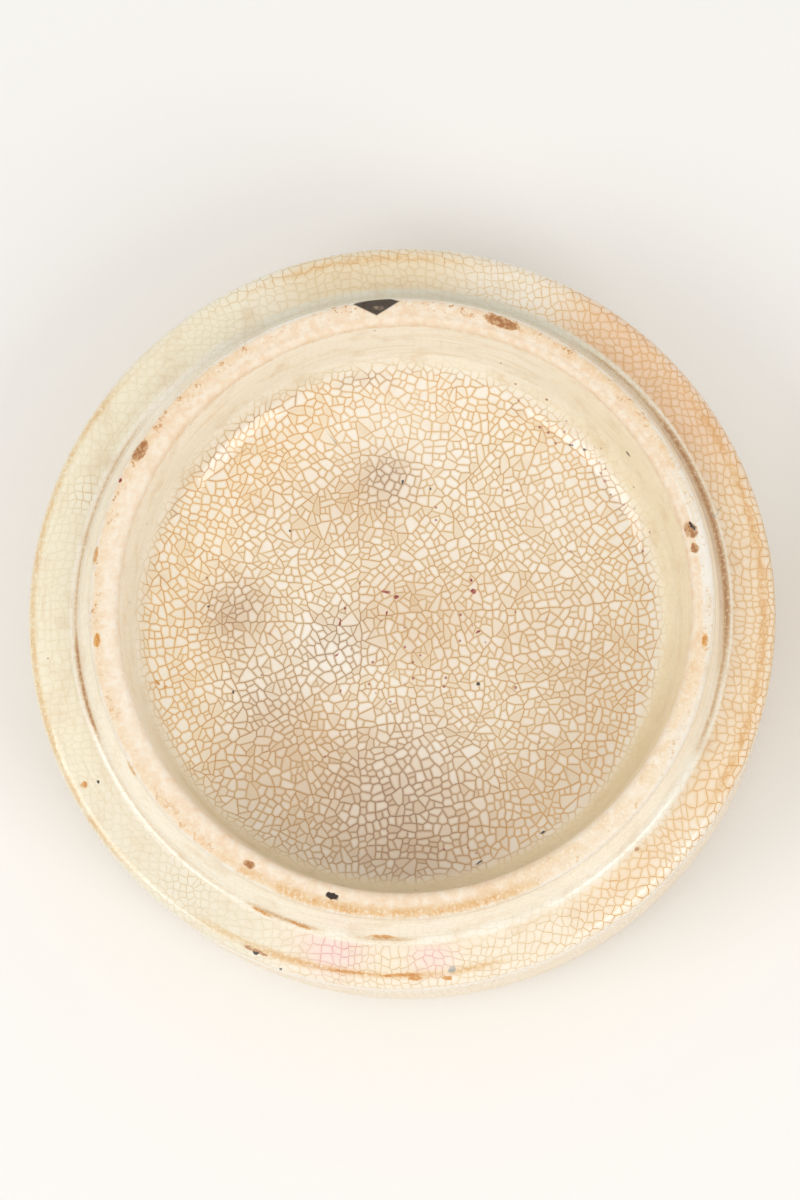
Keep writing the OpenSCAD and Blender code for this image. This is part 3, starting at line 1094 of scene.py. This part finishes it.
# %% List the marks
pot_marks = {
    "brown": [
        (501, 322, -20, 4.4, 1.3, rim_z), (140, 451, 58, 2.8, 1.5, rim_z),
        (691, 530, -60, 2.1, 1.5, rim_z), (695, 548, -70, 1.2, 1.0, rim_z),
        (249, 864, -30, 1.5, 0.9, rim_z), (285, 368, 25, 0.8, 0.4, floor_z + 3 * mm),
        (256, 951, -25, 3.2, 0.5, ledge_z),
        (637, 849, 30, 0.6, 0.5, ledge_z), (562, 888, 50, 0.9, 0.5, ledge_z + 3 * mm)],
    "orange": [
        (262, 912, -28, 2.6, 0.4, ledge_z), (300, 925, -22, 3.0, 0.4, ledge_z),
        (383, 937, -3, 3.4, 0.4, ledge_z), (400, 975, 2, 5.0, 0.4, ledge_z),
        (348, 972, -6, 4.6, 0.3, ledge_z),
        (158, 683, -40, 1.1, 0.4, floor_z), (165, 688, 40, 0.9, 0.3, floor_z),
        (84, 785, 0, 0.8, 0.7, ledge_z), (343, 366, 15, 0.9, 0.3, floor_z + 3 * mm),
        (447, 978, 0, 1.2, 0.5, ledge_z), (415, 978, 0, 1.6, 0.6, ledge_z),
        (705, 640, 80, 1.6, 0.7, rim_z), (560, 440, -35, 4.0, 0.8, floor_z + 1 * mm),
        (94, 555, 80, 2.4, 0.9, rim_z), (97, 640, 85, 1.8, 0.8, rim_z),
        (130, 770, -60, 3.5, 0.8, rim_z)],
    "red": [
        (473, 591, 10, 0.65, 0.55, floor_z), (471, 580, 60, 0.4, 0.3, floor_z),
        (397, 597, 20, 0.6, 0.4, floor_z), (385, 592, -10, 0.8, 0.3, floor_z),
        (387, 613, 70, 0.5, 0.25, floor_z), (341, 691, 80, 0.45, 0.25, floor_z),
        (478, 632, 30, 0.6, 0.3, floor_z), (340, 622, 85, 0.9, 0.25, floor_z),
        (345, 608, 70, 0.4, 0.25, floor_z), (337, 655, 60, 0.6, 0.2, floor_z),
        (120, 480, 60, 0.5, 0.4, rim_z), (178, 385, 45, 0.5, 0.4, rim_z)],
    "dark": [
        (478, 684, 0, 0.45, 0.40, floor_z), (332, 896, -12, 1.5, 0.8, rim_z),
        (98, 782, 0, 0.35, 0.35, ledge_z), (280, 969, 0, 0.45, 0.3, ledge_z),
        (502, 366, -60, 0.9, 0.35, floor_z + 5 * mm), (627, 454, -35, 1.0, 0.45, floor_z + 6 * mm),
        (562, 408, -50, 0.6, 0.3, floor_z + 4 * mm), (571, 445, 0, 0.4, 0.3, floor_z),
        (585, 450, 0, 0.4, 0.3, floor_z), (543, 833, 20, 0.9, 0.25, floor_z),
        (208, 606, 0, 0.25, 0.25, floor_z), (290, 531, 0, 0.3, 0.25, floor_z),
        (430, 488, 0, 0.25, 0.25, floor_z), (403, 482, 70, 0.6, 0.2, floor_z),
        (692, 526, -55, 1.3, 0.35, rim_z), (256, 953, -25, 0.8, 0.3, ledge_z),
        (233, 692, 0, 0.3, 0.25, floor_z), (479, 863, 20, 1.1, 0.25, floor_z)],
    "pale": [(378, 307, 0, 1.5, 0.6, rim_z)],
    "blue-grey": [(452, 970, 40, 1.0, 0.8, ledge_z), (718, 512, 60, 1.6, 0.12, ledge_z),
                  (714, 516, -30, 1.3, 0.12, ledge_z)],
}
mark_colours = {"brown": colour(148, 90, 48), "orange": colour(196, 118, 44),
                "red": colour(124, 36, 26), "dark": colour(50, 40, 32),
                "pale": colour(190, 166, 136), "blue-grey": colour(140, 148, 158)}
chip_px = (376, 302.5)
chip_half_size = (2.7, 1.5, 12)
chip_turn = math.radians(3)
level_depth = 1.5
slope_depth = 0.5
print(sum(len(group) for group in pot_marks.values()), "marks on the pot")


# %% [markdown]
# ## The glazed ceramic
# One function makes the material for both pieces. The body colour comes from the painted
# glaze, the cracks are drawn over it in their painted colour, grime gathers as speckles where
# it was painted, and bare clay shows through a ragged edge. A coat stands for the glassy
# layer: full on the glaze and none on the clay. Each layer is a function that takes the
# surface so far and gives it back with one thing more.

# %% Read what was painted
def painted(tree, name, output="Fac"):
    """The values that were painted on the mesh under that name."""
    return place(tree, "Attribute", {}, attribute_name=name).outputs[output]


# %% The crazed glaze
half_width = 0.058
wall_cell = 0.97
wall_half_width = 0.055
line_tan = opaque(colour(222, 196, 150))


def crazed_glaze(tree, skin, body, shift):
    """The glaze's colour with its cracks, and a mask of the cracks."""
    cracks = use_group(tree, crazing, {
        "Place": skin, "Shift": shift, "Cell": wall_cell, "Half Width": wall_half_width})
    lines = use_group(tree, turning, {"Place": body})["Lines"]
    show = painted(tree, "show")
    crack_colour = painted(tree, "crack", "Color")
    net, gap = painted(tree, "net"), painted(tree, "gap")

    cell_shade = either(tree, net, cracks["Cell Shade"], painted(tree, "shade"))
    line = product(tree, fade(tree, gap, half_width, core_share * half_width), painted(tree, "strength"))
    crack = either(tree, net, cracks["Crack"], line)
    margin = either(tree, net, cracks["Margin"], fade(tree, gap, inner_gap, 0.0))

    mottle = fade(tree, grain(tree, skin, 4.0, 3.0, 0.6), 0.48, 0.8, 0.0, 0.35)
    glaze = stain(tree, mottle, painted(tree, "glaze", "Color"), opaque(cloud_brown))
    whiter = calc(tree, "ADD", fade(tree, cell_shade, 0.1, 1.0, 0.0, 0.25),
                  product(tree, rest_of(tree, margin), 0.2))
    glaze = mix(tree, product(tree, whiter, show), glaze, opaque(white_cell))
    turned = product(tree, fade(tree, lines, 0.50, 0.70, 0.0, 0.35), rest_of(tree, show))
    glaze = mix(tree, turned, glaze, line_tan)
    glaze = stain(tree, product(tree, margin, painted(tree, "soak"), 0.5), glaze, crack_colour)
    uneven = fade(tree, grain(tree, skin, 2.2), 0.32, 0.60, 0.62, 1.0)
    return stain(tree, product(tree, crack, show, uneven), glaze, crack_colour), crack


# %% Specks
speck_spacing = 0.9
speck_red = opaque(colour(150, 66, 36))


def specked(tree, body, surface):
    """Small round specks, more of them where they were painted."""
    dot = place(tree, "TexVoronoi", {"Vector": body, "Scale": 1 / speck_spacing}).outputs
    rare = calc(tree, "SUBTRACT", painted(tree, "specks"), channel(tree, dot["Color"], "Red"))
    away = calc(tree, "ADD", dot["Distance"], product(tree, channel(tree, dot["Color"], "Green"), 0.15))
    dots = product(tree, fade(tree, rare, 0.0, 0.02), fade(tree, away, 0.30, 0.20))
    return mix(tree, product(tree, dots, 0.8), surface, speck_red)


# %% Worn edges
bleached_white = opaque(colour(249, 243, 230))


def worn_edges(tree, body, surface):
    """Bare clay behind a ragged edge of glaze. Gives the surface, the clay's mask and its relief."""
    bare_clay = use_group(tree, clay, {"Place": body})
    ragged = product(tree, calc(tree, "SUBTRACT", grain(tree, body, 0.9, 3.0), 0.5), 0.9)
    bare = fade(tree, calc(tree, "ADD", painted(tree, "bare"), ragged), 0.30, 0.70)
    clay_colour = mix(tree, painted(tree, "bleached"), bare_clay["Color"], bleached_white)
    return mix(tree, bare, surface, clay_colour), bare, bare_clay["Height"]


# %% Dirt
seam_brown = opaque(colour(152, 94, 44))
tick_brown = opaque(colour(178, 112, 62))
grime_orange = opaque(colour(206, 142, 74))


def dirtied(tree, skin, body, surface):
    """Dirt along the seams, short ticks along the rim, and speckled grime; the seam and grime layers also
    lay painted shade in the groove under the bead.
    """
    speckle = grain(tree, skin, 0.45, 3.0, 0.65)
    patchy = fade(tree, grain(tree, skin, 3.0), 0.32, 0.52, 0.3, 1.0)
    tick = product(tree, fade(tree, grain(tree, body, 0.6, 3.0, 0.65), 0.56, 0.66),
                   fade(tree, grain(tree, body, 3.0), 0.42, 0.58, 0.3, 1.0))
    layers = (("seam", fade(tree, speckle, 0.3, 0.55, 0.35, 1.0), 0.9, seam_brown),
              ("ticks", tick, 0.75, tick_brown),
              ("grime", product(tree, fade(tree, speckle, 0.30, 0.55), patchy), 0.85, grime_orange))
    for name, where, depth, tone in layers:
        surface = stain(tree, product(tree, painted(tree, name), where, depth), surface, tone)
    return surface


# %% Lay the chip and the marks
def lay_chip(tree, body, surface):
    """The large dark chip in the rim, a wedge whose point faces the middle."""
    wedge = use_group(tree, mark, {"Place": body, "Centre": seen_at(*chip_px, rim_z) / mm,
                                   "Angle": chip_turn, "Half Size": chip_half_size})["Wedge"]
    share = product(tree, wedge, painted(tree, "rim_top"), 0.95)
    return mix(tree, share, surface, opaque(mark_colours["dark"]))


def lay_marks(tree, body, surface, marks):
    """The listed marks, one colour after another."""
    frayed = bend(tree, body, 0.5, 0.5, 2.0)
    mottled = fade(tree, grain(tree, body, 0.4), 0.35, 0.6, 0.45, 1.0)
    for name, group in marks.items():
        total = 0.0
        for px, py, angle, length, width, height in group:
            deep = level_depth if height in (floor_z, rim_z, ledge_z) else slope_depth
            oval = use_group(tree, mark, {
                "Place": frayed, "Centre": seen_at(px, py, height) / mm, "Angle": math.radians(angle),
                "Half Size": (length / 2, width / 2, deep)})["Oval"]
            total = calc(tree, "MAXIMUM", total, oval)
        share = 0.95 if name in ("dark", "red") else 0.7
        mask = product(tree, total, share if name == "dark" else product(tree, mottled, share))
        surface = stain(tree, mask, surface, opaque(mark_colours[name]))
    return surface


# %% Put the layers together
glaze_roughness, clay_roughness, coat_roughness = 0.35, 0.85, 0.05
crack_depth = 0.015
glaze_ripple = 0.012


def glazed_ceramic(name, shift, marks):
    """A crazed glaze over clay, with its stains."""
    material = bpy.data.materials.new(name)
    material.use_nodes = True
    tree = material.node_tree
    tree.nodes.clear()
    skin = painted(tree, "unrolled", "Vector")
    body = place(tree, "VectorMath", {0: place(tree, "TexCoord", {}).outputs["Object"], "Scale": 1 / mm},
                 operation="SCALE").outputs[0]
    surface, crack = crazed_glaze(tree, skin, body, shift)
    surface = specked(tree, body, surface)
    surface, bare, clay_height = worn_edges(tree, body, surface)
    surface = dirtied(tree, skin, body, surface)
    if marks:
        surface = lay_chip(tree, body, surface)
        surface = lay_marks(tree, body, surface, marks)

    height = calc(tree, "ADD", product(tree, crack, -crack_depth),
                  product(tree, grain(tree, skin, 1.8), glaze_ripple))
    height = either(tree, bare, height, clay_height)
    relief = place(tree, "Bump", {"Height": height, "Distance": mm, "Strength": 1.0}).outputs[0]
    shader = place(tree, "BsdfPrincipled", {
        "Base Color": surface,
        "Roughness": fade(tree, bare, 0.0, 1.0, glaze_roughness, clay_roughness),
        "Coat Weight": product(tree, rest_of(tree, bare), painted(tree, "gloss")),
        "Coat Roughness": coat_roughness, "Normal": relief})
    place(tree, "OutputMaterial", {"Surface": shader.outputs[0]})
    print(name, "has", len(tree.nodes), "nodes")
    return material


pot.data.materials.append(glazed_ceramic("pot_crazed_glaze", (0, 0, 0), pot_marks))
lid.data.materials.append(glazed_ceramic("lid_crazed_glaze", (140, 60, 0), {}))

# %% Tie the pieces to the frame
for piece, node in ((pot, "pot"), (lid, "lid")):
    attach(piece, node)
    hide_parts(node)

# %% [markdown]
# ## Floor, light and background
# The pot stands on a plain pale floor, a hair below it, so that the foot's own face stays
# clear of it. Two tall soft lamps, one at the lower right and one at the left, stand where
# the bright streaks in the floor's rounded corner say the windows were.
# A white world fills the shadows, and shows pure white to the camera and in reflections.
# Together they light a level surface so that a colour renders about as it is written.

# %% Floor
half_side = 1.5
just_below = -0.02 * mm
floor_mesh = bpy.data.meshes.new("pale_floor")
square = ((-1, -1), (1, -1), (1, 1), (-1, 1))
floor_corners = [(half_side * x, half_side * y, just_below) for x, y in square]
floor_mesh.from_pydata(floor_corners, [], [(0, 1, 2, 3)])
floor = bpy.data.objects.new("pale_floor", floor_mesh)
bpy.context.scene.collection.objects.link(floor)
paper = bpy.data.materials.new("pale_floor")
paper.use_nodes = True
paper_shader = paper.node_tree.nodes["Principled BSDF"]
paper_shader.inputs["Base Color"].default_value = opaque(colour(244, 242, 238))
paper_shader.inputs["Roughness"].default_value = 0.9
paper_shader.inputs["Specular IOR Level"].default_value = 0.1
floor.data.materials.append(paper)


# %% Lamps and world
lamp_distance = 0.8
room_light = 0.765


def window(name, heading, height, width, tall, power):
    """A tall soft lamp that faces the pot."""
    lamp = bpy.data.lights.new(name, "AREA")
    lamp.shape = "RECTANGLE"
    lamp.size = width
    lamp.size_y = tall
    lamp.energy = power
    piece = bpy.data.objects.new(name, lamp)
    h, e = math.radians(heading), math.radians(height)
    spot = lamp_distance * Vector((math.cos(h) * math.cos(e), math.sin(h) * math.cos(e), math.sin(e)))
    piece.location = spot
    piece.rotation_euler = spot.to_track_quat("Z", "Y").to_euler()
    bpy.context.scene.collection.objects.link(piece)
    return piece


window("window_right", heading=-42, height=45, width=0.28, tall=0.50, power=1.38)
window("window_left", heading=-156, height=50, width=0.32, tall=0.50, power=1.38)
world = bpy.data.worlds.new("white_room")
bpy.context.scene.world = world
world.use_nodes = True
tree = world.node_tree
tree.nodes.clear()
rays = place(tree, "LightPath", {}).outputs
seen = calc(tree, "MAXIMUM", rays["Is Camera Ray"],
            calc(tree, "MAXIMUM", rays["Is Glossy Ray"], rays["Is Transmission Ray"]))
strength = fade(tree, seen, 0.0, 1.0, room_light, 1.0)
fill = place(tree, "Background", {"Color": (1, 1, 1, 1), "Strength": strength})
place(tree, "OutputWorld", {"Surface": fill.outputs[0]})
bpy.context.scene.view_settings.view_transform = "Standard"

# %% Finish
bpy.context.view_layer.update()
